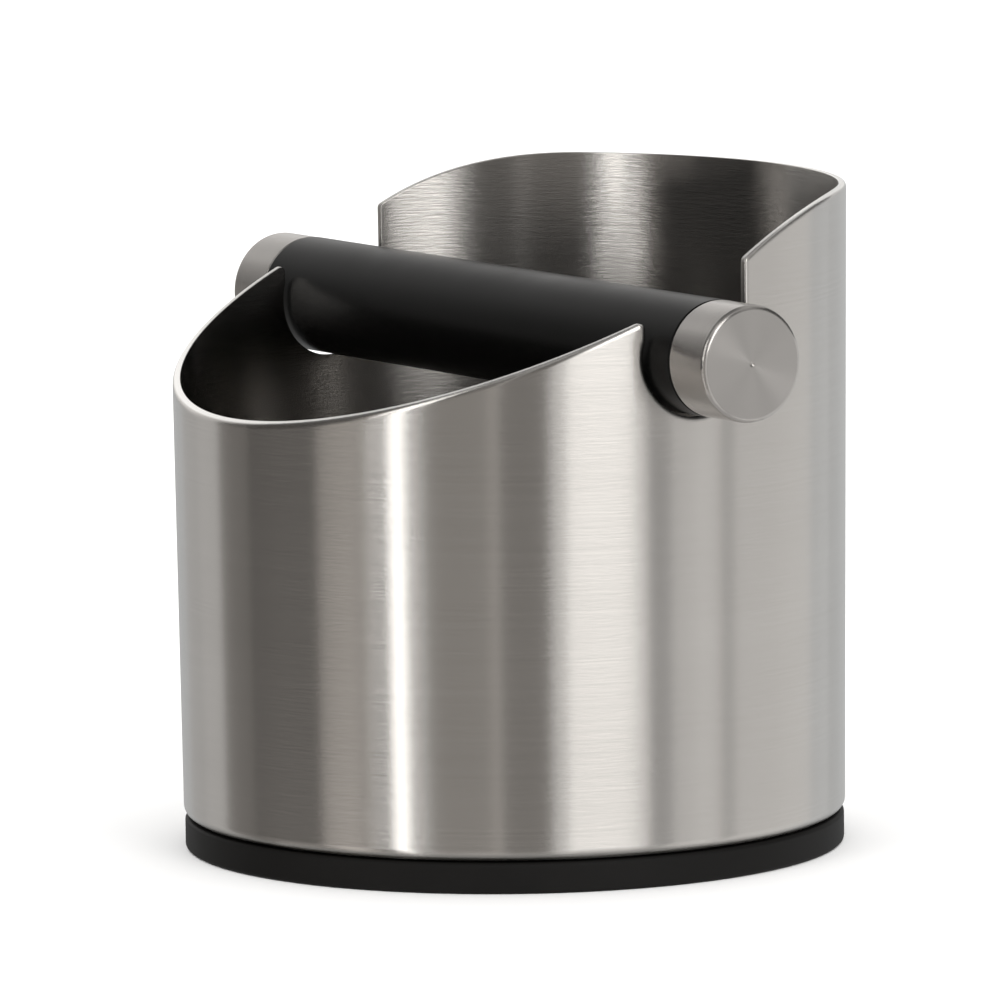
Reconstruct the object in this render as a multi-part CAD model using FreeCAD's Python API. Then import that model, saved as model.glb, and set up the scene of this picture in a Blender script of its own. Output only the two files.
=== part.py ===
import FreeCAD, Part
import math
import os

# Espresso knock box: a drawn steel bin with a low front and a high back, a rubber foot under it,
# and a rubber-covered knock bar that lies in two slots in the wall and lifts out.
# Millimetres. +Z is up, X runs along the knock bar, and the low front of the bin faces -Y.
# The origin is the centre of the foot's underside.

# ---- driving dimensions -------------------------------------------------------------------

HEIGHT = 117.2            # counter to the top of the high back
RIM_RADIUS = 60.0         # outside of the wall at that height
BASE_RADIUS = 58.85       # outside of the wall at its foot, because the bin is drawn with a slight taper
SHEET = 1.4               # sheet steel of the bin
CORNER_RADIUS = 2.0       # outside bend between the bin's wall and its floor

FOOT_RADIUS = 58.65
FOOT_HEIGHT = 5.5
FOOT_EDGE = 0.7           # rounding of the foot's two edges
ADHESIVE_RADIUS = 54.0
ADHESIVE_THICKNESS = 0.2

FRONT_RIM_HEIGHT = 79.75  # height of the rim at the very front of the wall
FRONT_RIM_SLOPE = 21.3    # degrees; the front rim climbs in a straight line to the lips over the bar
BACK_ARC_RADIUS = 65.0    # the back rim climbs in one arc
BACK_ARC_END_Y = 43.0     # and runs level from here to the back

BAR_HEIGHT = 92.4         # axis of the knock bar
SLEEVE_RADIUS = 10.25
SLEEVE_LENGTH = 130.8
SLEEVE_EDGE = 0.4

SLOT_RADIUS = 10.6        # round bottom of each slot
SLOT_CENTRE_Y = -0.25     # the round bottom sits a little forward of the bar, so the lip hooks over it
SLOT_CENTRE_Z = 92.35
MOUTH_FRONT = 10.35       # from the bar's axis forward to the lip's nose
LIP_NOSE = 1.1            # rounding of the lip's nose
BACK_CORNER = 1.2         # rounding where the slot meets the back rim

CAP_RADIUS = 10.2
CAP_LENGTH = 10.4
CAP_OUTER_EDGE = 0.9      # rounding between the cap's face and its side
CAP_INNER_EDGE = 0.3
CENTRE_MARK_RADIUS = 0.5  # conical mark left by the lathe centre
CENTRE_MARK_DEPTH = 0.4

CORE_RADIUS = 7.0
CORE_BORE = 5.4
CORE_LENGTH = 128.0
PLUG_LENGTH = 16.0
PLUG_EDGE = 0.5
STUD_RADIUS = 3.0
STUD_IN_CAP = 6.0
STUD_IN_PLUG = 12.0
STUD_EDGE = 0.5
HOLE_SPARE = 0.5          # how much deeper each blind hole is than the stud in it
RUNNING_GAP = 0.05        # radial, between the core tube and what turns on it

# ---- worked out ---------------------------------------------------------------------------

FLOOR_UNDERSIDE = FOOT_HEIGHT + ADHESIVE_THICKNESS
SLEEVE_END = SLEEVE_LENGTH / 2
CORE_END = CORE_LENGTH / 2
CAP_INNER_FACE = SLEEVE_END
CAP_OUTER_FACE = CAP_INNER_FACE + CAP_LENGTH
CLEAR_OF_PART = 20.0      # how far cutting shapes reach past the steel
SAME_PLACE = 1e-3         # two places closer than this are one, when an edge is looked up

UP = FreeCAD.Vector(0, 0, 1)
ALONG_BAR = FreeCAD.Vector(1, 0, 0)


def side_point(y, z):
    """A point of the side view, on the plane where the cutting prism starts."""
    return FreeCAD.Vector(-RIM_RADIUS - CLEAR_OF_PART, y, z)


def lathe(points, edge_radii):
    """A solid turned about the bar's axis from (x, radius) corners, with the named corners' edges rounded."""
    corners = [FreeCAD.Vector(x, 0, BAR_HEIGHT + radius) for x, radius in points]
    face = Part.Face(Part.makePolygon(corners + corners[:1]))
    solid = face.revolve(FreeCAD.Vector(0, 0, BAR_HEIGHT), ALONG_BAR, 360)
    for index, radius in edge_radii.items():
        solid = solid.makeFillet(radius, [circle_at(solid, *points[index])])
    return solid


def circle_at(solid, x, radius):
    """The circular edge of that radius about the bar's axis in the plane of that x."""
    for edge in solid.Edges:
        if not isinstance(edge.Curve, Part.Circle):
            continue
        same_plane = abs(edge.Curve.Center.x - x) < SAME_PLACE
        if same_plane and abs(edge.Curve.Radius - radius) < SAME_PLACE:
            return edge
    raise ValueError("no edge of radius %s at x %s" % (radius, x))


def mirrored(solid):
    """The same piece at the other end of the bar."""
    return solid.mirror(FreeCAD.Vector(0, 0, 0), ALONG_BAR)


# ---- bin ----------------------------------------------------------------------------------

def tapered_blank(inset, bend_radius):
    """The bin's solid outer shape, drawn in by inset all round, with its floor corner bent."""
    taper = (RIM_RADIUS - BASE_RADIUS) / (HEIGHT - FLOOR_UNDERSIDE)
    bottom = FLOOR_UNDERSIDE + inset
    top = HEIGHT + CLEAR_OF_PART
    bottom_radius = BASE_RADIUS - inset + taper * inset
    top_radius = RIM_RADIUS - inset + taper * CLEAR_OF_PART
    blank = Part.makeCone(bottom_radius, top_radius, top - bottom, FreeCAD.Vector(0, 0, bottom), UP)
    floor_edges = [edge for edge in blank.Edges if edge.BoundBox.ZMax < bottom + SAME_PLACE]
    return blank.makeFillet(bend_radius, floor_edges)


def front_rim_z(y):
    """Height of the straight front rim at y."""
    return FRONT_RIM_HEIGHT + (y + RIM_RADIUS) * math.tan(math.radians(FRONT_RIM_SLOPE))


def slot_point(degrees):
    """A point of the slot's round bottom; 0 is at the back, 90 at the top and 180 at the front."""
    angle = math.radians(degrees)
    y = SLOT_CENTRE_Y + SLOT_RADIUS * math.cos(angle)
    z = SLOT_CENTRE_Z + SLOT_RADIUS * math.sin(angle)
    return side_point(y, z)


def rim_cutter():
    """A prism along X that cuts the rim and both slots, as one press tool would."""
    arc_centre_z = HEIGHT - BACK_ARC_RADIUS
    outside = RIM_RADIUS + CLEAR_OF_PART
    above = HEIGHT + CLEAR_OF_PART

    # the circle passes under the lip up to the mouth's front edge
    lip_angle = 180 - math.degrees(math.acos((MOUTH_FRONT + SLOT_CENTRE_Y) / SLOT_RADIUS))
    back_y = SLOT_CENTRE_Y + SLOT_RADIUS
    back_corner_z = arc_centre_z + math.sqrt(BACK_ARC_RADIUS ** 2 - (BACK_ARC_END_Y - back_y) ** 2)
    mid_angle = (math.pi / 2 + math.acos((back_y - BACK_ARC_END_Y) / BACK_ARC_RADIUS)) / 2

    front = side_point(-outside, front_rim_z(-outside))
    lip_top = side_point(-MOUTH_FRONT, front_rim_z(-MOUTH_FRONT))
    lip_under = slot_point(lip_angle)
    slot_back = slot_point(0)
    back_corner = side_point(back_y, back_corner_z)
    arc_middle = side_point(
        BACK_ARC_END_Y + BACK_ARC_RADIUS * math.cos(mid_angle),
        arc_centre_z + BACK_ARC_RADIUS * math.sin(mid_angle),
    )
    arc_end = side_point(BACK_ARC_END_Y, HEIGHT)
    edges = [
        Part.makeLine(front, lip_top),
        Part.makeLine(lip_top, lip_under),
        Part.Arc(lip_under, slot_point(270), slot_back).toShape(),
        Part.makeLine(slot_back, back_corner),
        Part.Arc(back_corner, arc_middle, arc_end).toShape(),
        Part.makeLine(arc_end, side_point(outside, HEIGHT)),
        Part.makeLine(side_point(outside, HEIGHT), side_point(outside, above)),
        Part.makeLine(side_point(outside, above), side_point(-outside, above)),
        Part.makeLine(side_point(-outside, above), front),
    ]
    prism = Part.Face(Part.Wire(edges)).extrude(ALONG_BAR * 2 * outside)
    prism = round_corner(prism, lip_top, LIP_NOSE)
    return round_corner(prism, back_corner, BACK_CORNER)


def round_corner(prism, corner, radius):
    """Rounds the prism's long edge that starts at that corner of its side view."""
    for edge in prism.Edges:
        ends = [vertex.Point for vertex in edge.Vertexes]
        along = len(ends) == 2 and abs(ends[0].x - ends[1].x) > RIM_RADIUS
        if along and math.hypot(ends[0].y - corner.y, ends[0].z - corner.z) < SAME_PLACE:
            return prism.makeFillet(radius, [edge])
    raise ValueError("no long edge at that corner")


def body_shell():
    outside = tapered_blank(0, CORNER_RADIUS)
    inside = tapered_blank(SHEET, CORNER_RADIUS - SHEET)
    return outside.cut(inside).cut(rim_cutter())


def base_foot():
    disc = Part.makeCylinder(FOOT_RADIUS, FOOT_HEIGHT)
    rims = [edge for edge in disc.Edges if isinstance(edge.Curve, Part.Circle)]
    return disc.makeFillet(FOOT_EDGE, rims)


def foot_adhesive():
    return Part.makeCylinder(ADHESIVE_RADIUS, ADHESIVE_THICKNESS, FreeCAD.Vector(0, 0, FOOT_HEIGHT), UP)


# ---- knock bar ----------------------------------------------------------------------------

def tube(half_length, outer, inner):
    """Corners of a tube centred on the bin, outer ones first."""
    return [(-half_length, outer), (half_length, outer), (half_length, inner), (-half_length, inner)]


def bar_sleeve():
    corners = tube(SLEEVE_END, SLEEVE_RADIUS, CORE_RADIUS + RUNNING_GAP)
    return lathe(corners, {0: SLEEVE_EDGE, 1: SLEEVE_EDGE})


def core_tube():
    return lathe(tube(CORE_END, CORE_RADIUS, CORE_BORE), {})


def threaded_plug():
    outer = CORE_BORE - RUNNING_GAP
    inner_end = CORE_END - PLUG_LENGTH
    hole_end = CAP_INNER_FACE - STUD_IN_PLUG - HOLE_SPARE
    corners = [
        (inner_end, 0), (inner_end, outer), (CORE_END, outer),
        (CORE_END, STUD_RADIUS), (hole_end, STUD_RADIUS), (hole_end, 0),
    ]
    return lathe(corners, {1: PLUG_EDGE})


def cap_stud():
    inner_end = CAP_INNER_FACE - STUD_IN_PLUG
    outer_end = CAP_INNER_FACE + STUD_IN_CAP
    corners = [(inner_end, 0), (inner_end, STUD_RADIUS), (outer_end, STUD_RADIUS), (outer_end, 0)]
    return lathe(corners, {1: STUD_EDGE, 2: STUD_EDGE})


def end_cap():
    hole_end = CAP_INNER_FACE + STUD_IN_CAP + HOLE_SPARE
    corners = [
        (hole_end, 0), (hole_end, STUD_RADIUS), (CAP_INNER_FACE, STUD_RADIUS),
        (CAP_INNER_FACE, CAP_RADIUS), (CAP_OUTER_FACE, CAP_RADIUS), (CAP_OUTER_FACE, CENTRE_MARK_RADIUS),
        (CAP_OUTER_FACE - CENTRE_MARK_DEPTH, 0),
    ]
    return lathe(corners, {3: CAP_INNER_EDGE, 4: CAP_OUTER_EDGE})


# ---- output -------------------------------------------------------------------------------

def all_nodes():
    nodes = {
        "body_shell": body_shell(),
        "base_foot": base_foot(),
        "foot_adhesive": foot_adhesive(),
        "bar_sleeve": bar_sleeve(),
        "core_tube": core_tube(),
    }
    ends = {"threaded_plug": threaded_plug(), "cap_stud": cap_stud(), "end_cap": end_cap()}
    for name, solid in ends.items():
        nodes[name + "_right"] = solid
        nodes[name + "_left"] = mirrored(solid)
    return nodes


def main():
    os.makedirs("parts", exist_ok=True)
    for name, shape in all_nodes().items():
        if not shape.isValid() or len(shape.Solids) != 1:
            raise ValueError("%s isn't one valid solid" % name)
        shape.exportStep("parts/%s.step" % name)


main()
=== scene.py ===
import math

import bpy
import numpy as np
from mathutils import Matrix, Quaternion, Vector
from mathutils.geometry import delaunay_2d_cdt

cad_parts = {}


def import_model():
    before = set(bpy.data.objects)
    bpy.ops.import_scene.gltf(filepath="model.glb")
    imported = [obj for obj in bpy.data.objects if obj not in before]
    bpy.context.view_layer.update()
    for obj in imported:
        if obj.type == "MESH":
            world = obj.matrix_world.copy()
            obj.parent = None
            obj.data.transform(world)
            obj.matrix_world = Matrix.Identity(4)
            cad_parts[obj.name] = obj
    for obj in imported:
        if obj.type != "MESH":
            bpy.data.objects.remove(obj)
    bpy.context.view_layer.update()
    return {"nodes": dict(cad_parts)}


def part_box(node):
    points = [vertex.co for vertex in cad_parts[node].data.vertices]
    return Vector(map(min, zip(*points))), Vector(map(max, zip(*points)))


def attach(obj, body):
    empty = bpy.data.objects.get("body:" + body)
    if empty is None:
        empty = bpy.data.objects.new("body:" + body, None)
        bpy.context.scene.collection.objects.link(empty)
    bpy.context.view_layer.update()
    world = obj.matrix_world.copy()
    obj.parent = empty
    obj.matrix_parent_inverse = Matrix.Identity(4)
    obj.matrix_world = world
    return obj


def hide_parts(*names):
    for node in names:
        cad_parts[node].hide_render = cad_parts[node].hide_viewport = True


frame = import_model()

# The looks of an espresso knock box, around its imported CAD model. Shapes are worked out in
# millimetres, with the part's axes: X along the knock bar, -Y the low front, +Z up.
MM = 0.001

# ---- the bin's shape, as its CAD node has it -----------------------------------------------

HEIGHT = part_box("body_shell")[1].z / MM
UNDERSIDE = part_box("body_shell")[0].z / MM
RIM_RADIUS = 60.0
BASE_RADIUS = 58.85
SHEET = 1.4
BEND = 2.0                 # outside radius between wall and floor
FRONT_RIM_HEIGHT = 79.75
FRONT_RIM_SLOPE = math.radians(21.3)
BACK_ARC_RADIUS = 65.0
BACK_ARC_END_Y = 43.0
SLOT_RADIUS = 10.6
SLOT_CENTRE = (-0.25, 92.35)
MOUTH_FRONT = 10.35
LIP_NOSE = 1.1
BACK_CORNER = 1.2
FRONT_RIM_NORMAL = (-math.sin(FRONT_RIM_SLOPE), math.cos(FRONT_RIM_SLOPE))
TAPER = (RIM_RADIUS - BASE_RADIUS) / (HEIGHT - UNDERSIDE)
LEAN = math.atan(TAPER)

# how far the sheet's cut edges are rounded: down the wall, and across the cut
OUTER_EDGE = (0.95, 0.6)
INNER_EDGE = (0.2, 0.2)

# how finely the bin is divided
COLUMNS = 120              # from the front to the back of one half
ROW_SPACING = 4.0
RIM_STEPS = 110            # along the front rim, and again along the back rim
NOSE_STEPS = 14
SLOT_STEPS = 70            # round the bottom of a slot
SLOT_BACK_STEPS = 5        # up the straight back of a slot
BACK_CORNER_STEPS = 10
EDGE_STEPS = 8
BEND_STEPS = 10
FLOOR_RINGS = 5
CLEAR_OF_RIM = 1.2         # no inner point of the sheet lies nearer to its rim
RIM_HEIGHT_PASSES = 4      # the wall leans, so the height of a point on the rim is found in passes
SAME_POINT = 1e-7

# ---- the shapes of the foot and the bar ----------------------------------------------------

FOOT_EDGE = 0.7
SLEEVE_EDGE = 0.4
CAP_OUTER_EDGE = 0.9
CAP_INNER_EDGE = 0.3
HIDDEN_EDGE = 0.1          # where the sleeve's bore and the cap's hole open
CENTRE_MARK_RADIUS = 0.5
CENTRE_MARK_DEPTH = 0.4
CENTRE_MARK_EDGE = 0.08
HOLE_SPARE = 0.5           # how much deeper the cap's hole is than the stud in it
RUNNING_GAP = 0.05         # between the core tube and the sleeve

FOOT_SEGMENTS = 288
BAR_SEGMENTS = 192
FOOT_EDGE_STEPS = 6
SLEEVE_EDGE_STEPS = 5
CAP_EDGE_STEPS = 10
ON_AXIS = 1e-6             # a smaller radius than this is a point on the axis


# ---- outlines ------------------------------------------------------------------------------

def unit(vector):
    vector = np.asarray(vector, float)
    return vector / np.linalg.norm(vector)


def rounded(corner, before, after, radius, steps):
    """A corner of an outline as (point, normal) pairs. before and after are the normals of the two
    edges that meet there, pointing out of the material, which lies on the right of the path."""
    before, after = unit(before), unit(after)
    hollow = before[0] * after[1] - before[1] * after[0] > 0
    side = -1.0 if hollow else 1.0
    centre = np.asarray(corner, float) - side * radius * (before + after) / (1 + before @ after)
    start, end = (math.atan2(n[1], n[0]) for n in (before, after))
    turn = (end - start + math.pi) % (2 * math.pi) - math.pi
    pairs = []
    for step in range(steps + 1):
        angle = start + turn * step / steps
        normal = np.array((math.cos(angle), math.sin(angle)))
        pairs.append((centre + side * radius * normal, normal))
    return pairs


def edge_normal(a, b):
    """The normal on the left of the way from a to b."""
    return unit((a[1] - b[1], b[0] - a[0]))


def outline(corners, radii, steps, closed=False):
    """(point, normal) pairs along a path of straight runs whose corners have those radii."""
    count = len(corners)
    pairs = []
    for index, (corner, radius) in enumerate(zip(corners, radii)):
        previous, following = corners[index - 1], corners[(index + 1) % count]
        if not closed and index == 0:
            pairs.append((np.asarray(corner, float), edge_normal(corner, following)))
        elif not closed and index == count - 1:
            pairs.append((np.asarray(corner, float), edge_normal(previous, corner)))
        else:
            before, after = edge_normal(previous, corner), edge_normal(corner, following)
            pairs += rounded(corner, before, after, radius, steps)
    return pairs


# ---- meshes --------------------------------------------------------------------------------

def make_piece(name, points, faces, normals, material, body, replaces, slot):
    """A smooth mesh from points in millimetres with its own exact normals, riding on a CAD body."""
    mesh = bpy.data.meshes.new(name)
    mesh.from_pydata((np.asarray(points) * MM).tolist(), [], faces)
    mesh.polygons.foreach_set("use_smooth", [True] * len(mesh.polygons))
    mesh.normals_split_custom_set_from_vertices(np.asarray(normals).tolist())
    mesh.validate()
    mesh.update()
    piece = bpy.data.objects.new(name, mesh)
    bpy.context.scene.collection.objects.link(piece)
    mesh.materials.append(material)
    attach(piece, body)
    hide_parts(replaces)


def facing(face, points, normals):
    """The face with its corners in the order that agrees with its points' normals."""
    a, b, c = (np.asarray(points[face[i]]) for i in range(3))
    across = np.cross(b - a, c - a)
    return face if across @ sum(np.asarray(normals[i]) for i in face) > 0 else face[::-1]


def turned(pairs, place, segments, closed):
    """Points, faces and normals of an outline of (along, radius) points turned about an axis.
    place(along, radius, angle) gives a point in space."""
    points, normals, rings = [], [], []
    origin = place(0.0, 0.0, 0.0)
    for (along, radius), (n_along, n_radius) in pairs:
        pole = radius < ON_AXIS
        angles = [0.0] if pole else [2 * math.pi * k / segments for k in range(segments)]
        rings.append(range(len(points), len(points) + len(angles)))
        for angle in angles:
            points.append(place(along, radius, angle))
            normal = (math.copysign(1, n_along), 0.0) if pole else (n_along, n_radius)
            normals.append(unit(place(*normal, angle) - origin))
    faces = []
    for first, second in zip(rings, rings[1:] + (rings[:1] if closed else [])):
        for k in range(segments):
            follow = (k + 1) % segments
            corners = [first[k % len(first)], first[follow % len(first)],
                       second[follow % len(second)], second[k % len(second)]]
            face = list(dict.fromkeys(corners))
            if len(face) > 2:
                faces.append(facing(face, points, normals))
    return points, faces, normals


def about_x(height):
    """Turning about a level axis along X at that height."""
    def place(along, radius, angle):
        return np.array((along, -radius * math.sin(angle), height + radius * math.cos(angle)))
    return place


def about_z(along, radius, angle):
    return np.array((radius * math.sin(angle), -radius * math.cos(angle), along))


# ---- the bin -------------------------------------------------------------------------------

def wall_radius(z, inset):
    return BASE_RADIUS - inset + TAPER * (z - UNDERSIDE)


def wall_point(theta, z, inset):
    """A point of the wall; theta is 0 at the front, and half a turn at the back."""
    radius = wall_radius(z, inset)
    return np.array((radius * math.sin(theta), -radius * math.cos(theta), z))


def wall_normal(theta, inset):
    level, down = math.cos(LEAN), -math.sin(LEAN)
    outward = np.array((math.sin(theta) * level, -math.cos(theta) * level, down))
    return -outward if inset else outward


def front_rim_z(y):
    return FRONT_RIM_HEIGHT + (y + RIM_RADIUS) * math.tan(FRONT_RIM_SLOPE)


def back_rim_z(y):
    before_level = max(0.0, BACK_ARC_END_Y - y)
    return HEIGHT - BACK_ARC_RADIUS + math.sqrt(BACK_ARC_RADIUS ** 2 - before_level ** 2)


def back_rim_normal(y):
    spoke_y = min(0.0, (y - BACK_ARC_END_Y) / BACK_ARC_RADIUS)
    return spoke_y, math.sqrt(1 - spoke_y ** 2)


def slot_outline():
    """The side view of a slot, from the lip's nose round the bottom to the back corner."""
    nose = (-MOUTH_FRONT, front_rim_z(-MOUTH_FRONT))
    pairs = rounded(nose, FRONT_RIM_NORMAL, (1, 0), LIP_NOSE, NOSE_STEPS)

    centre = np.array(SLOT_CENTRE)
    under_lip = math.pi - math.acos((MOUTH_FRONT + centre[0]) / SLOT_RADIUS)
    for step in range(SLOT_STEPS + 1):
        angle = under_lip + (2 * math.pi - under_lip) * step / SLOT_STEPS
        spoke = np.array((math.cos(angle), math.sin(angle)))
        pairs.append((centre + SLOT_RADIUS * spoke, -spoke))

    back_y = centre[0] + SLOT_RADIUS
    forward = np.array((-1.0, 0.0))
    corner = rounded((back_y, back_rim_z(back_y)), forward, back_rim_normal(back_y),
                     BACK_CORNER, BACK_CORNER_STEPS)
    bottom, top = pairs[-1][0][1], corner[0][0][1]
    for step in range(1, SLOT_BACK_STEPS):
        z = bottom + (top - bottom) * step / SLOT_BACK_STEPS
        pairs.append((np.array((back_y, z)), forward))
    return pairs + corner


def rim(inset, slot_pairs):
    """The rim of one half as (point, cut normal) pairs in space, from the front to the back."""
    def angle_at(y, z):
        return math.acos(-y / wall_radius(z, inset))

    def along_rim(start, end, height_at, normal_at):
        found = []
        for step in range(RIM_STEPS):
            theta = start + (end - start) * step / RIM_STEPS
            z = height_at(0.0)
            for _ in range(RIM_HEIGHT_PASSES):
                z = height_at(-wall_radius(z, inset) * math.cos(theta))
            point = wall_point(theta, z, inset)
            found.append((point, np.array((0.0, *normal_at(point[1])))))
        return found

    first, last = slot_pairs[0][0], slot_pairs[-1][0]
    front = along_rim(0.0, angle_at(*first), front_rim_z, lambda y: FRONT_RIM_NORMAL)
    slot = []
    for (y, z), normal in slot_pairs:
        slot.append((wall_point(angle_at(y, z), z, inset), np.array((0.0, *normal))))
    back = along_rim(math.pi, angle_at(*last), back_rim_z, back_rim_normal)
    return front + slot + back[::-1]


def broken_edge(corner, cut_normal, surface_normal, along_cut, size):
    """Points and normals over a rounded edge, from the sheet's surface to its cut face."""
    down, across = size
    in_surface = unit(cut_normal - (cut_normal @ surface_normal) * surface_normal)
    on_surface = corner - down * in_surface
    on_cut = corner + across * along_cut
    pairs = []
    for step in range(EDGE_STEPS + 1):
        t = step / EDGE_STEPS
        point = (1 - t) ** 2 * on_surface + 2 * t * (1 - t) * corner + t ** 2 * on_cut
        pairs.append((point, unit((1 - t) * down * surface_normal + t * across * cut_normal)))
    return pairs


def inside(polygon, points):
    """Which points lie inside a closed polygon."""
    x, y = points[:, 0], points[:, 1]
    result = np.zeros(len(points), bool)
    for (x0, y0), (x1, y1) in zip(polygon, np.roll(polygon, -1, axis=0)):
        if y0 != y1:
            result ^= ((y0 > y) != (y1 > y)) & (x < (x1 - x0) * (y - y0) / (y1 - y0) + x0)
    return result


class HalfBin:
    """One half of the bin, from the front to the back; mirrored() gives the whole."""

    def __init__(self):
        self.points, self.normals, self.faces = [], [], []

    def add(self, point, normal):
        self.points.append(np.asarray(point, float))
        self.normals.append(np.asarray(normal, float))
        return len(self.points) - 1

    def face(self, corners):
        self.faces.append(facing(list(corners), self.points, self.normals))

    def strip(self, first, second):
        """Faces between two rows of as many points."""
        for k in range(len(first) - 1):
            corners = list(dict.fromkeys((first[k], first[k + 1], second[k + 1], second[k])))
            if len(corners) > 2:
                self.face(corners)

    def rim_band(self):
        """The cut edge of the sheet. Gives its outermost and innermost rows."""
        slot_pairs = slot_outline()
        rows = []
        for (outer, cut), (inner, _) in zip(rim(0.0, slot_pairs), rim(SHEET, slot_pairs)):
            across = unit(inner - outer)
            theta_out, theta_in = (math.atan2(p[0], -p[1]) for p in (outer, inner))
            over = broken_edge(outer, cut, wall_normal(theta_out, 0.0), across, OUTER_EDGE)
            under = broken_edge(inner, cut, wall_normal(theta_in, SHEET), -across, INNER_EDGE)
            rows.append([self.add(*pair) for pair in over + under[::-1]])
        for end in (0, -1):
            for index in rows[end]:
                self.points[index][0] = self.normals[index][0] = 0.0
        columns = list(zip(*rows))
        for first, second in zip(columns, columns[1:]):
            self.strip(first, second)
        return columns[0], columns[-1]

    def side(self, theta, top_index, bottom_z, inset):
        """Points up the half's own edge, at the front or the back, between its ends."""
        top = self.points[top_index][2]
        rows = max(2, round((top - bottom_z) / ROW_SPACING))
        indices = []
        for row in range(1, rows):
            z = bottom_z + (top - bottom_z) * row / rows
            indices.append(self.add(wall_point(theta, z, inset), wall_normal(theta, inset)))
            self.points[indices[-1]][0] = 0.0
        return indices

    def interior(self, flat, bottom_z):
        """Unrolled points in rows and columns inside that outline."""
        rows = round((HEIGHT - bottom_z) / ROW_SPACING)
        grid = []
        for row in range(1, rows):
            z = bottom_z + (HEIGHT - bottom_z) * row / rows
            for column in range(1, COLUMNS):
                grid.append((RIM_RADIUS * math.pi * column / COLUMNS, z))
        grid = np.array(grid)
        clear = np.array([np.min(np.hypot(*(flat - p).T)) > CLEAR_OF_RIM for p in grid])
        return grid[clear & inside(flat, grid)]

    def sheet(self, rim_row, inset):
        """One surface of the wall, from its rim row down to the bend. Gives its lowest row."""
        bottom_z = UNDERSIDE + BEND - (BEND - inset) * math.sin(LEAN)
        bottom = []
        for column in range(COLUMNS + 1):
            theta = math.pi * column / COLUMNS
            bottom.append(self.add(wall_point(theta, bottom_z, inset), wall_normal(theta, inset)))
        self.points[bottom[0]][0] = self.points[bottom[-1]][0] = 0.0

        front_side = self.side(0.0, rim_row[0], bottom_z, inset)
        back_side = self.side(math.pi, rim_row[-1], bottom_z, inset)
        loop = list(rim_row) + back_side[::-1] + bottom[::-1] + front_side
        flat = np.array([self.flattened(index) for index in loop])

        grid = self.interior(flat, bottom_z)
        inner = []
        for distance, z in grid:
            theta = distance / RIM_RADIUS
            inner.append(self.add(wall_point(theta, z, inset), wall_normal(theta, inset)))

        coordinates = [Vector(p) for p in np.vstack((flat, grid))]
        indices = loop + inner
        only_inside = 1
        made = delaunay_2d_cdt(coordinates, [], [list(range(len(loop)))], only_inside, SAME_POINT)
        triangles, origins = made[2], made[3]
        for triangle in triangles:
            self.face([indices[origins[corner][0]] for corner in triangle])
        return bottom

    def flattened(self, index):
        """A point of the wall, unrolled."""
        x, y, z = self.points[index]
        return RIM_RADIUS * math.atan2(x, -y), z

    def bend_and_floor(self, row, inset):
        """The bend under one surface's lowest row, and the floor to its middle."""
        radius = BEND - inset
        centre_z = UNDERSIDE + BEND
        centre_r = wall_radius(centre_z - radius * math.sin(LEAN), inset) - radius * math.cos(LEAN)
        facing_in = -1.0 if inset else 1.0
        profile = []
        for step in range(1, BEND_STEPS + 1):
            angle = LEAN + (math.pi / 2 - LEAN) * step / BEND_STEPS
            r, z = centre_r + radius * math.cos(angle), centre_z - radius * math.sin(angle)
            profile.append((r, z, facing_in * math.cos(angle), -facing_in * math.sin(angle)))
        floor_z = centre_z - radius
        for ring in range(1, FLOOR_RINGS):
            profile.append((centre_r * (1 - ring / FLOOR_RINGS), floor_z, 0.0, -facing_in))
        for r, z, n_r, n_z in profile:
            following = []
            for column in range(COLUMNS + 1):
                theta = math.pi * column / COLUMNS
                sideways = math.sin(theta) if 0 < column < COLUMNS else 0.0
                across = np.array((sideways, -math.cos(theta), 0.0))
                following.append(self.add(across * r + (0, 0, z), across * n_r + (0, 0, n_z)))
            self.strip(row, following)
            row = following
        middle = self.add((0, 0, floor_z), (0, 0, -facing_in))
        self.strip(row, [middle] * len(row))

    def mirrored(self):
        """Points, faces and normals of the whole bin."""
        points, normals, faces = list(self.points), list(self.normals), list(self.faces)
        partner = []
        for point, normal in zip(self.points, self.normals):
            if point[0] == 0.0:
                partner.append(len(partner))
            else:
                partner.append(len(points))
                points.append(point * (-1, 1, 1))
                normals.append(normal * (-1, 1, 1))
        faces += [[partner[index] for index in face][::-1] for face in self.faces]
        return points, faces, normals


def bin_shell(material):
    half = HalfBin()
    outer_row, inner_row = half.rim_band()
    for row, inset in ((outer_row, 0.0), (inner_row, SHEET)):
        half.bend_and_floor(half.sheet(row, inset), inset)
    make_piece("bin_wall", *half.mirrored(), material, "bin", "body_shell", "bin_steel")


def rubber_foot(material):
    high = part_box("base_foot")[1]
    radius, height = high.x / MM, high.z / MM
    corners = [(0, 0), (0, radius), (height, radius), (height, 0)]
    pairs = outline(corners, [0, FOOT_EDGE, FOOT_EDGE, 0], FOOT_EDGE_STEPS)
    pairs = [(p, -n) for p, n in pairs]
    shape = turned(pairs, about_z, FOOT_SEGMENTS, closed=False)
    make_piece("foot", *shape, material, "bin", "base_foot", "foot_rubber")


# ---- the knock bar -------------------------------------------------------------------------

def bar_height():
    low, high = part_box("bar_sleeve")
    return (low.z + high.z) / 2 / MM


def bar_radius(node):
    """The radius of one of the bar's pieces."""
    low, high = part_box(node)
    return (high.z - low.z) / 2 / MM


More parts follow.
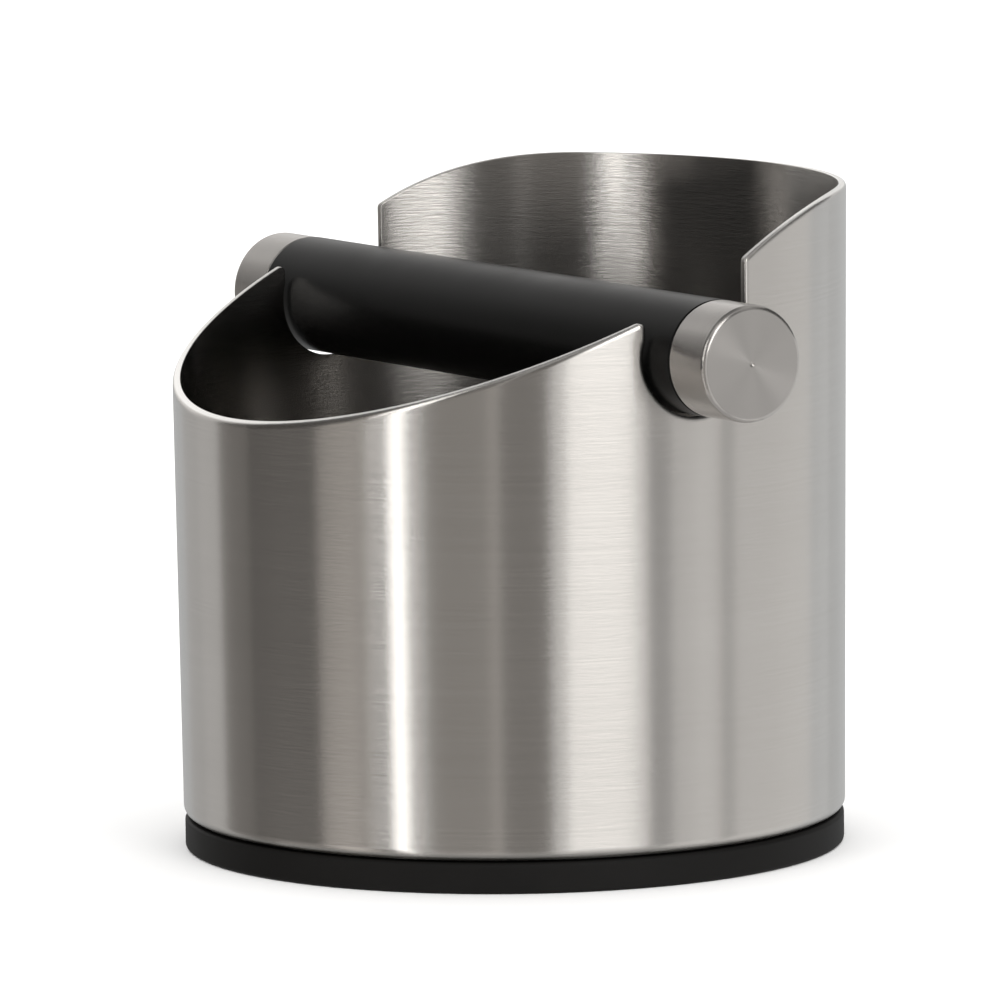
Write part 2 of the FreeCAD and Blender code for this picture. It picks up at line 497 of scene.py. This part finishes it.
def rubber_sleeve(material):
    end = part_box("bar_sleeve")[1].x / MM
    outer, bore = bar_radius("bar_sleeve"), bar_radius("core_tube") + RUNNING_GAP
    corners = [(-end, bore), (-end, outer), (end, outer), (end, bore)]
    radii = [HIDDEN_EDGE, SLEEVE_EDGE, SLEEVE_EDGE, HIDDEN_EDGE]
    pairs = outline(corners, radii, SLEEVE_EDGE_STEPS, closed=True)
    shape = turned(pairs, about_x(bar_height()), BAR_SEGMENTS, closed=True)
    make_piece("sleeve", *shape, material, "knock_bar", "bar_sleeve", "sleeve_rubber")


def steel_cap(side, material):
    """A turned end cap; side is 1 for the right one, at +X, and -1 for the left one."""
    node = "end_cap_right" if side > 0 else "end_cap_left"
    low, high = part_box(node)
    inner_face, outer_face = sorted((abs(low.x) / MM, abs(high.x) / MM))
    hole_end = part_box("cap_stud_right")[1].x / MM + HOLE_SPARE
    radius, stud = bar_radius(node), bar_radius("cap_stud_right")
    corners_and_radii = [
        ((hole_end, 0), 0),
        ((hole_end, stud), HIDDEN_EDGE),
        ((inner_face, stud), HIDDEN_EDGE),
        ((inner_face, radius), CAP_INNER_EDGE),
        ((outer_face, radius), CAP_OUTER_EDGE),
        ((outer_face, CENTRE_MARK_RADIUS), CENTRE_MARK_EDGE),
        ((outer_face - CENTRE_MARK_DEPTH, 0), 0),
    ]
    pairs = outline(*zip(*corners_and_radii), CAP_EDGE_STEPS)
    if side < 0:
        pairs = [(p * (-1, 1), n * (-1, 1)) for p, n in pairs]
    shape = turned(pairs, about_x(bar_height()), BAR_SEGMENTS, closed=False)
    name = "cap_right" if side > 0 else "cap_left"
    make_piece(name, *shape, material, "knock_bar", node, "cap_steel")


# ---- materials -----------------------------------------------------------------------------

# tones are a dark and a light one; a pattern is how finely a noise runs along X, Y and Z
SHEET_TONES = (0.655, 0.635, 0.61), (0.70, 0.68, 0.655)
SHEET_ROUGHNESS = (0.235, 0.265)
LINE_PATTERN = (14, 14, 5200)
STREAK_PATTERN = (260, 260, 2500)
PATCH_PATTERN = (22, 22, 60)
STREAKS_INSIDE, STREAKS_OUTSIDE = 0.6, 0.22
IN_TO_OUT = 0.12           # the inside's look gives way over twice this depth, within BASE_RADIUS
# the darker steel colour deep in the bin is painted shade, where little light gets in
SHADED_INSIDE_TONE = (0.49, 0.475, 0.455)
INSIDE_SHADE_HEIGHT = 86.0         # below about this height the inside's colour is darkened as painted shade
INSIDE_SHADE_FADE = 6.0
# the cut edge's colour: a polished cut, made lighter where it faces up as a painted highlight
POLISHED_CUT_HIGHLIGHT = (0.93, 0.92, 0.90)
LOWEST_CUT = 0.9 * FRONT_RIM_HEIGHT  # only above this does a surface that faces up count as cut
FACES_UP = (0.7, 0.15)     # the normal's Z where the cut's polish and painted highlight begin, and its fade

TURNED_TONES = (0.545, 0.525, 0.505), (0.585, 0.565, 0.545)
# the flat faces' darker steel colour is painted shade
SHADED_TURNED_FACE = (0.465, 0.45, 0.435)
FACES_ALONG = (0.95, 0.04)  # the squared normal's X where the flat faces' painted shade begins, and its fade
RINGS_PER_METRE = 6000.0
SMEAR_PATTERN = (90, 90, 90)
CAP_ROUGHNESS, CORE_ROUGHNESS = 0.24, 0.32
SMEAR = 0.015              # how far smears change the roughness
ACROSS_THE_LINES = 0.25    # the turn that spreads a reflection across the brushed or turned lines

GRAIN_PATTERN = (2600, 2600, 2600)
BLOOM_PATTERN = (45, 45, 45)
FOOT_TONES = (0.0030, 0.0027, 0.0025), (0.0060, 0.0054, 0.0050)
FOOT_ROUGHNESS, FOOT_SHINE = 0.60, 0.22
SLEEVE_TONES = (0.0014, 0.0014, 0.0014), (0.0026, 0.0025, 0.0025)
SLEEVE_ROUGHNESS, SLEEVE_SHINE = 0.34, 0.17

FILM_TONES = (0.66, 0.64, 0.58), (0.78, 0.76, 0.70)
FILM_ROUGHNESS = (0.45, 0.6)
FIBRE_PATTERN = (300, 300, 300)

# depths of bumps, in metres
FINE_DEPTH = 0.00004
STREAK_DEPTH = 0.00009
FIBRE_DEPTH = 0.0001


class Nodes:
    """A material's node tree, with short calls to add and join nodes."""

    def __init__(self, name):
        self.material = bpy.data.materials.new(name)
        self.material.use_nodes = True
        self.tree = self.material.node_tree
        self.shader = self.tree.nodes["Principled BSDF"]

    def add(self, kind, inputs=(), **settings):
        node = self.tree.nodes.new("ShaderNode" + kind)
        for key, value in settings.items():
            setattr(node, key, value)
        for key, value in dict(inputs).items():
            if isinstance(value, bpy.types.NodeSocket):
                self.tree.links.new(value, node.inputs[key])
            else:
                node.inputs[key].default_value = value
        return node

    def set(self, **values):
        for key, value in values.items():
            socket = self.shader.inputs[key.replace("_", " ")]
            if isinstance(value, bpy.types.NodeSocket):
                self.tree.links.new(value, socket)
            else:
                socket.default_value = value

    def place(self, scale):
        """Object coordinates, stretched."""
        coordinates = self.add("TexCoord").outputs["Object"]
        return self.add("Mapping", {"Vector": coordinates, "Scale": scale}).outputs["Vector"]

    def noise(self, vector, scale=1.0, detail=2.0, roughness=0.5):
        inputs = {"Vector": vector, "Scale": scale, "Detail": detail, "Roughness": roughness}
        return self.add("TexNoise", inputs).outputs["Fac"]

    def spread(self, value, low, high, centre=0.5, half_width=0.25):
        """A value taken to low..high from a range that is, if not given, a noise's usual one."""
        inputs = {"Value": value, "From Min": centre - half_width, "From Max": centre + half_width,
                  "To Min": low, "To Max": high}
        return self.add("MapRange", inputs).outputs["Result"]

    def math(self, operation, a, b):
        return self.add("Math", {0: a, 1: b}, operation=operation).outputs["Value"]

    def mix(self, factor, a, b):
        """One colour to another; each is three numbers or another node's output."""
        node = self.add("Mix", data_type="RGBA")
        colour_sockets = {0: factor, 6: a, 7: b}
        for index, value in colour_sockets.items():
            if isinstance(value, bpy.types.NodeSocket):
                self.tree.links.new(value, node.inputs[index])
            else:
                node.inputs[index].default_value = (*value, 1)
        return node.outputs[2]

    def bump(self, height, strength, distance, normal=None):
        inputs = {"Height": height, "Strength": strength, "Distance": distance}
        if normal is not None:
            inputs["Normal"] = normal
        return self.add("Bump", inputs).outputs["Normal"]


def brushed_sheet():
    """Sheet steel brushed round the wall: fine level lines that stretch every reflection upright.
    Inside, the brushing is coarser, and low down the inside's colour is darkened as painted shade.
    The cut edge on the rim is polished, and where it faces up it is made lighter as a painted
    highlight."""
    n = Nodes("brushed_sheet")
    lines = n.noise(n.place(LINE_PATTERN), detail=3)
    streaks = n.noise(n.place(STREAK_PATTERN), detail=3, roughness=0.6)
    patches = n.noise(n.place(PATCH_PATTERN), detail=3)
    tone = n.math("ADD", n.math("MULTIPLY", lines, 0.6), n.math("MULTIPLY", patches, 0.4))
    steel = n.mix(n.spread(tone, 0, 1, half_width=0.14), *SHEET_TONES)
    upward = n.add("SeparateXYZ", {"Vector": n.add("TexCoord").outputs["Normal"]}).outputs["Z"]
    height = n.add("SeparateXYZ", {"Vector": n.add("TexCoord").outputs["Object"]}).outputs["Z"]
    on_rim = n.math("GREATER_THAN", height, LOWEST_CUT * MM)
    # painted highlight: the polished cut is lighter only where it faces up
    cut_top_highlight = n.math("MULTIPLY", n.spread(upward, 0, 1, *FACES_UP), on_rim)
    level = n.place((1, 1, 0))
    from_axis = n.add("VectorMath", {0: level}, operation="LENGTH").outputs["Value"]
    between, fade = (BASE_RADIUS - IN_TO_OUT) * MM, IN_TO_OUT * MM
    streak_strength = n.spread(from_axis, STREAKS_INSIDE, STREAKS_OUTSIDE, between, fade)
    within = n.spread(from_axis, 1.0, 0.0, between, fade)
    # painted shade: low down inside the bin the steel's colour is mixed toward a darker tone
    low_down = n.spread(height, 1.0, 0.0, INSIDE_SHADE_HEIGHT * MM, INSIDE_SHADE_FADE * MM)
    painted_inside_shade = n.math("MULTIPLY", within, low_down)
    steel = n.mix(painted_inside_shade, steel, SHADED_INSIDE_TONE)
    n.set(
        Base_Color=n.mix(cut_top_highlight, steel, POLISHED_CUT_HIGHLIGHT),
        Metallic=1.0,
        Roughness=n.spread(lines, *SHEET_ROUGHNESS),
        Anisotropic=1.0,
        Anisotropic_Rotation=ACROSS_THE_LINES,
        Tangent=n.add("Tangent", direction_type="RADIAL", axis="Z").outputs["Tangent"],
        Normal=n.bump(lines, 0.10, FINE_DEPTH, n.bump(streaks, streak_strength, STREAK_DEPTH)),
    )
    return n.material


def turned_steel(name, height, roughness):
    """Steel turned on a lathe about the bar's axis, which lies at that height: fine rings on the
    flat faces, whose colour is darkened as painted shade, and fine bands on the rounds."""
    n = Nodes(name)
    coordinates = n.add("TexCoord").outputs["Object"]
    parts = n.add("SeparateXYZ", {"Vector": coordinates})
    above = n.math("SUBTRACT", parts.outputs["Z"], height)
    across = n.math("MULTIPLY", parts.outputs["Y"], parts.outputs["Y"])
    radius = n.math("SQRT", n.math("ADD", across, n.math("MULTIPLY", above, above)), 0.0)
    rings = n.add("CombineXYZ", {
        "X": n.math("MULTIPLY", parts.outputs["X"], RINGS_PER_METRE),
        "Y": n.math("MULTIPLY", radius, RINGS_PER_METRE),
    })
    grooves = n.noise(rings.outputs["Vector"], detail=2)
    smear = n.noise(n.place(SMEAR_PATTERN), detail=2)
    steel = n.mix(n.spread(grooves, 0, 1), *TURNED_TONES)
    along_axis = n.add("SeparateXYZ", {"Vector": n.add("TexCoord").outputs["Normal"]}).outputs["X"]
    # painted shade: the flat faces get a darker copy of the steel's colour
    flat_face_shade = n.math("MULTIPLY", along_axis, along_axis)
    n.set(
        Base_Color=n.mix(n.spread(flat_face_shade, 0, 1, *FACES_ALONG), steel, SHADED_TURNED_FACE),
        Metallic=1.0,
        Roughness=n.spread(smear, roughness - SMEAR, roughness + SMEAR),
        Anisotropic=0.9,
        Anisotropic_Rotation=ACROSS_THE_LINES,
        Tangent=n.add("Tangent", direction_type="RADIAL", axis="X").outputs["Tangent"],
        Normal=n.bump(grooves, 0.05, FINE_DEPTH),
    )
    return n.material


def rubber(name, dark, light, roughness, shine):
    """Moulded black rubber: a fine grain, and a faint bloom in patches."""
    n = Nodes(name)
    grain = n.noise(n.place(GRAIN_PATTERN), detail=2)
    bloom = n.noise(n.place(BLOOM_PATTERN), detail=4, roughness=0.6)
    n.set(
        Base_Color=n.mix(n.spread(bloom, 0, 1), dark, light),
        Roughness=n.spread(bloom, roughness - 0.04, roughness + 0.05),
        Specular_IOR_Level=shine,
        Normal=n.bump(grain, 0.25, FINE_DEPTH),
    )
    return n.material


def adhesive_film():
    """A pale film with faint fibres."""
    n = Nodes("adhesive_film")
    fibres = n.noise(n.place(FIBRE_PATTERN), detail=3)
    n.set(
        Base_Color=n.mix(n.spread(fibres, 0, 1), *FILM_TONES),
        Roughness=n.spread(fibres, *FILM_ROUGHNESS),
        Normal=n.bump(fibres, 0.2, FIBRE_DEPTH),
    )
    return n.material


def finish_cad_nodes():
    """Materials for the CAD nodes that stay as they are, inside the bar and under the bin."""
    core = turned_steel("core_steel", bar_height() * MM, CORE_ROUGHNESS)
    finishes = {"foot_adhesive": adhesive_film(), "core_tube": core}
    for side in ("left", "right"):
        finishes["threaded_plug_" + side] = core
        finishes["cap_stud_" + side] = core
    for node, material in finishes.items():
        mesh = frame["nodes"][node].data
        mesh.materials.clear()
        mesh.materials.append(material)


# ---- studio --------------------------------------------------------------------------------

CAMERA_AZIMUTH = 56.635
CAMERA_ELEVATION = 7.566
CAMERA_ROLL = -0.727
CAMERA_DISTANCE = 1.9494
CAMERA_LENS = 394.21
CAMERA_SENSOR = 36.0
CAMERA_CLIP = (0.05, 50.0)
CAMERA_TARGET = Vector((0, 0, 0.060))
AIM_RIGHT = -0.001639
AIM_UP = 0.000832

# Softboxes stand round the object like a tent, in tiers. Each one has its start and end, in degrees
# to the right of the camera as seen from the object, its brightness and its colour.
WARM = (1.0, 0.94, 0.88)
PLAIN = (1.0, 0.985, 0.965)
COOL = (0.985, 1.0, 1.005)
LOWER_TIER = (
    ("left_rear_far", -180, -150, 0.46, COOL),
    ("left_rear", -150, -134, 0.41, PLAIN),
    ("left_rear_near", -134, -118, 0.475, PLAIN),
    ("left_dark_far", -118, -100, 0.18, WARM),
    ("left_front_strip", -42, -36.5, 2.4, PLAIN),
    ("strip_glow", -33, -29, 0.56, PLAIN),
    ("front_left", -29, -8, 0.31, WARM),
    ("front_gap", -8, -4, 0.40, WARM),
    ("front", -4, 13, 0.23, WARM),
    ("key_edge", 13, 19, 0.68, PLAIN),
    ("key_start", 19, 22, 1.06, PLAIN),
    ("key", 22, 43, 0.71, PLAIN),
    ("key_end", 43, 47.5, 0.95, PLAIN),
    ("right_gap", 47.5, 56, 0.41, PLAIN),
    ("right_front_near", 56, 66, 0.70, PLAIN),
    ("right_front", 66, 76, 0.775, PLAIN),
    ("right_line", 76, 82, 0.52, PLAIN),
    ("right", 82, 104, 0.75, PLAIN),
    ("right_rear", 104, 124, 0.77, PLAIN),
    ("right_rear_far", 124, 140, 0.65, COOL),
    ("rear_right", 140, 180, 0.52, COOL),
)
LOWEST_LEFT = (
    ("low_left_dark", -100, -70, 0.235, WARM),
    ("low_left_side", -70, -56, 0.78, WARM),
    ("low_left_front", -56, -50, 0.44, WARM),
)
MIDDLE_TIER = (
    ("middle_rear_left", -180, -150, 1.0, PLAIN),
    ("middle_left_far", -150, -134, 0.85, PLAIN),
    ("middle_left_near", -134, -118, 0.6, PLAIN),
    ("middle_left", -118, -56, 0.06, WARM),
    ("middle_strip_edge", -56, -50, 0.6, WARM),
    ("middle_strip_start", -50, -46, 3.2, PLAIN),
    ("middle_strip", -46, -42, 2.3, PLAIN),
    ("middle_strip_end", -42, -36, 2.0, PLAIN),
    ("middle_strip_line", -36, -33, 2.9, PLAIN),
    ("middle_front_left", -33, -6.5, 0.06, WARM),
    ("middle_front_line", -6.5, -3.5, 0.42, PLAIN),
    ("middle_front", -3.5, 14, 0.06, WARM),
    ("middle_key_edge", 14, 19, 0.75, PLAIN),
    ("middle_key_start", 19, 22, 2.0, PLAIN),
    ("middle_key", 22, 43, 3.3, PLAIN),
    ("middle_key_end", 43, 47.5, 0.5, PLAIN),
    ("middle_right", 47.5, 62, 0.12, PLAIN),
    ("middle_right_glow", 62, 76, 0.30, PLAIN),
    ("middle_right_far", 76, 140, 0.06, PLAIN),
    ("middle_rear_right", 140, 180, 0.75, PLAIN),
)
UPPER_TIER = (
    ("high_left", -180, -50, 0.15, PLAIN),
    ("high_front", -50, 50, 0.5, PLAIN),
    ("high_right", 50, 180, 0.45, PLAIN),
)
# where each tier starts and ends, in degrees above the horizon
TIERS = (
    (-45, 5, LOWER_TIER),
    (-45, -8, LOWEST_LEFT),
    (5, 38, MIDDLE_TIER),
    (38, 65, UPPER_TIER),
)
TENT_RADIUS = 2.6
WIDEST_PANEL = 30          # degrees
CEILING_BRIGHTNESS = 0.15
UNDER_CARD_BRIGHTNESS = 0.45
GLOSSY_WORLD = 0.02        # what the steel sees between the softboxes
DIFFUSE_WORLD = 1.0
FLOOR_HALF = 20.0
FLOOR_TONE = 0.95


def camera():
    """The photograph's camera, as it was fitted to the edges in the picture."""
    azimuth, elevation = math.radians(CAMERA_AZIMUTH), math.radians(CAMERA_ELEVATION)
    back = Vector((math.sin(azimuth) * math.cos(elevation),
                   -math.cos(azimuth) * math.cos(elevation), math.sin(elevation)))
    right = Vector((math.cos(azimuth), math.sin(azimuth), 0))
    up = back.cross(right)
    data = bpy.data.cameras.new("camera")
    data.lens = CAMERA_LENS
    data.sensor_width = CAMERA_SENSOR
    data.clip_start, data.clip_end = CAMERA_CLIP
    made = bpy.data.objects.new("camera", data)
    bpy.context.scene.collection.objects.link(made)
    made.location = CAMERA_TARGET + back * CAMERA_DISTANCE
    aim = CAMERA_TARGET + right * AIM_RIGHT + up * AIM_UP
    level = (made.location - aim).to_track_quat("Z", "Y")
    made.rotation_mode = "QUATERNION"
    made.rotation_quaternion = level @ Quaternion((0, 0, 1), math.radians(CAMERA_ROLL))
    bpy.context.scene.camera = made


def area_light(name, width, height, brightness, colour, location, outward):
    """A flat light with that radiance, whose back looks outward."""
    data = bpy.data.lights.new(name, "AREA")
    data.shape = "RECTANGLE"
    data.size = width
    data.size_y = height
    data.color = colour
    data.energy = brightness * math.pi * width * height
    light = bpy.data.objects.new(name, data)
    bpy.context.scene.collection.objects.link(light)
    light.location = location
    light.rotation_mode = "QUATERNION"
    light.rotation_quaternion = outward.to_track_quat("Z", "Y")
    light.visible_camera = False
    return light


def rise(elevation):
    """How far over the object's middle the tent is at that elevation in degrees."""
    return TENT_RADIUS * math.tan(math.radians(elevation))


def softbox(low, high, name, start, end, brightness, colour):
    """Panels that face the object and cover those directions, from one elevation to another."""
    panels = math.ceil((end - start) / WIDEST_PANEL)
    span = math.radians(end - start) / panels
    width = 2 * TENT_RADIUS * math.tan(span / 2)
    bottom, top = rise(low), rise(high)
    for panel in range(panels):
        middle = math.radians(CAMERA_AZIMUTH + start) + (panel + 0.5) * span
        outward = Vector((math.sin(middle), -math.cos(middle), 0))
        location = outward * TENT_RADIUS + Vector((0, 0, CAMERA_TARGET.z + (bottom + top) / 2))
        area_light(f"{name}_{panel}", width, top - bottom, brightness, colour, location, outward)


def tent():
    """The tiers of softboxes, a ceiling, and a card below that only the steel's reflections see."""
    for low, high, boxes in TIERS:
        for box in boxes:
            softbox(low, high, *box)
    low, high = TIERS[0][0], TIERS[-1][1]
    width, up = 2 * TENT_RADIUS, Vector((0, 0, 1))
    area_light("ceiling", width, width, CEILING_BRIGHTNESS, PLAIN, rise(high) * up, up)
    card = area_light("under_card", width, width, UNDER_CARD_BRIGHTNESS, PLAIN, rise(low) * up, -up)
    card.visible_diffuse = False


def world():
    """White behind the object, soft white light on it, and dark between the softboxes in its
    reflections."""
    made = bpy.data.worlds.new("studio")
    bpy.context.scene.world = made
    made.use_nodes = True
    nodes, links = made.node_tree.nodes, made.node_tree.links
    background = nodes["Background"]
    path = nodes.new("ShaderNodeLightPath")
    level = nodes.new("ShaderNodeMapRange")
    level.inputs["To Min"].default_value = DIFFUSE_WORLD
    level.inputs["To Max"].default_value = GLOSSY_WORLD
    links.new(path.outputs["Is Glossy Ray"], level.inputs["Value"])
    links.new(level.outputs["Result"], background.inputs["Strength"])
    background.inputs["Color"].default_value = (1, 1, 1, 1)


def floor():
    """A pale floor that carries the object's soft shadow and stays out of its reflections."""
    n = Nodes("pale_floor")
    n.set(Base_Color=(FLOOR_TONE, FLOOR_TONE, FLOOR_TONE, 1), Roughness=0.9, Specular_IOR_Level=0.0)
    corners = [(x * FLOOR_HALF, y * FLOOR_HALF, 0) for x, y in ((-1, -1), (1, -1), (1, 1), (-1, 1))]
    mesh = bpy.data.meshes.new("floor")
    mesh.from_pydata(corners, [], [(0, 1, 2, 3)])
    mesh.materials.append(n.material)
    made = bpy.data.objects.new("floor", mesh)
    bpy.context.scene.collection.objects.link(made)
    made.visible_glossy = False
    made.visible_shadow = False


def studio():
    camera()
    world()
    floor()
    tent()
    bpy.context.scene.view_settings.view_transform = "Standard"


# ---- the model -----------------------------------------------------------------------------

def model():
    cap_steel = turned_steel("cap_steel", bar_height() * MM, CAP_ROUGHNESS)
    bin_shell(brushed_sheet())
    rubber_foot(rubber("foot_rubber", *FOOT_TONES, FOOT_ROUGHNESS, FOOT_SHINE))
    rubber_sleeve(rubber("sleeve_rubber", *SLEEVE_TONES, SLEEVE_ROUGHNESS, SLEEVE_SHINE))
    steel_cap(1, cap_steel)
    steel_cap(-1, cap_steel)
    finish_cad_nodes()


studio()
model()
